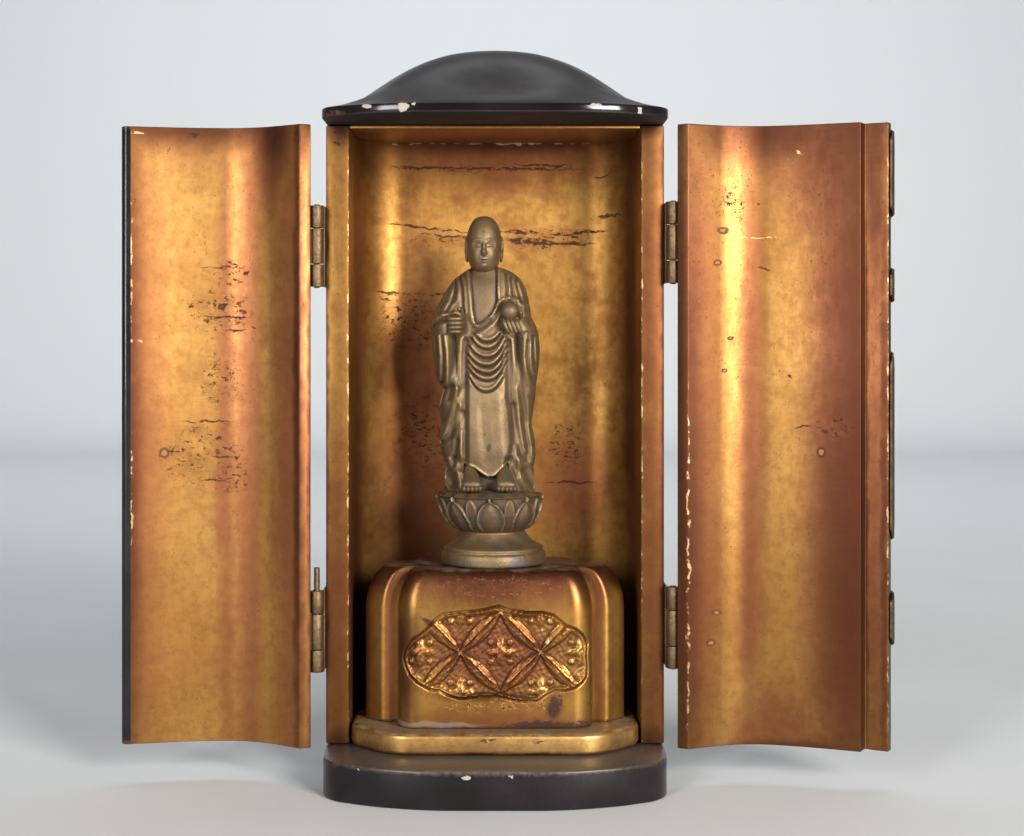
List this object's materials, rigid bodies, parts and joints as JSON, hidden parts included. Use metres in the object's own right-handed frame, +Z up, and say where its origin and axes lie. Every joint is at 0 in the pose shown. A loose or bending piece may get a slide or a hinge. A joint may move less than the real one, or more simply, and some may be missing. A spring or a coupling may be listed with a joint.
{
  "type": "buddhist traveling shrine",
  "caption": "Portable lacquered shrine standing open: domed roof, bowed hinged doors gilt inside, bronze monk on a lotus over a gilt lobed pedestal with a carved panel.",
  "frame": {"origin": "centre of the base's underside", "axes": "+Z up, -Y out of the open front, +X to the right as one looks into the shrine"},
  "size_m": [0.2415, 0.0772, 0.2307],
  "materials": {
    "black_lacquer": "black lacquer over wood, worn and chipped at the edges",
    "gilt_lacquer": "gold leaf over lacquered wood, worn through in places",
    "aged_brass": "dark, tarnished",
    "patinated_bronze": "olive brown patina, rubbed bright on the high places"
  },
  "bodies": {
    "case": {"base_slab": "black_lacquer", "case_shell": "gilt_lacquer", "roof": "black_lacquer", "pedestal_plinth": "gilt_lacquer", "pedestal_body": "gilt_lacquer", "bronze_figure": "patinated_bronze", "hinge_lower_left_case_leaf": "aged_brass", "hinge_lower_left_pin": "aged_brass", "hinge_lower_right_case_leaf": "aged_brass", "hinge_lower_right_pin": "aged_brass", "hinge_upper_left_case_leaf": "aged_brass", "hinge_upper_left_pin": "aged_brass", "hinge_upper_right_case_leaf": "aged_brass", "hinge_upper_right_pin": "aged_brass"},
    "left_door": {"door_left": "gilt_lacquer", "door_stud_left": "aged_brass", "hinge_lower_left_door_leaf": "aged_brass", "hinge_upper_left_door_leaf": "aged_brass"},
    "right_door": {"door_right": "gilt_lacquer", "door_stud_right": "aged_brass", "hinge_lower_right_door_leaf": "aged_brass", "hinge_upper_right_door_leaf": "aged_brass", "strip_mount_top": "aged_brass", "strip_plate_upper": "aged_brass", "strip_plate_lock": "aged_brass", "strip_mount_bottom": "aged_brass", "strip_clasp": "aged_brass"}
  },
  "joints": [
    {"name": "left_door_hinge", "type": "hinge", "parent": "case", "child": "left_door", "pos_m": [-0.0558, -0.00775, 0.1], "axis": [0, 0, 1], "range_deg": [-14.5, 160.5]},
    {"name": "right_door_hinge", "type": "hinge", "parent": "case", "child": "right_door", "pos_m": [0.0558, -0.00775, 0.1], "axis": [0, 0, 1], "range_deg": [-150, 25]}
  ]
}
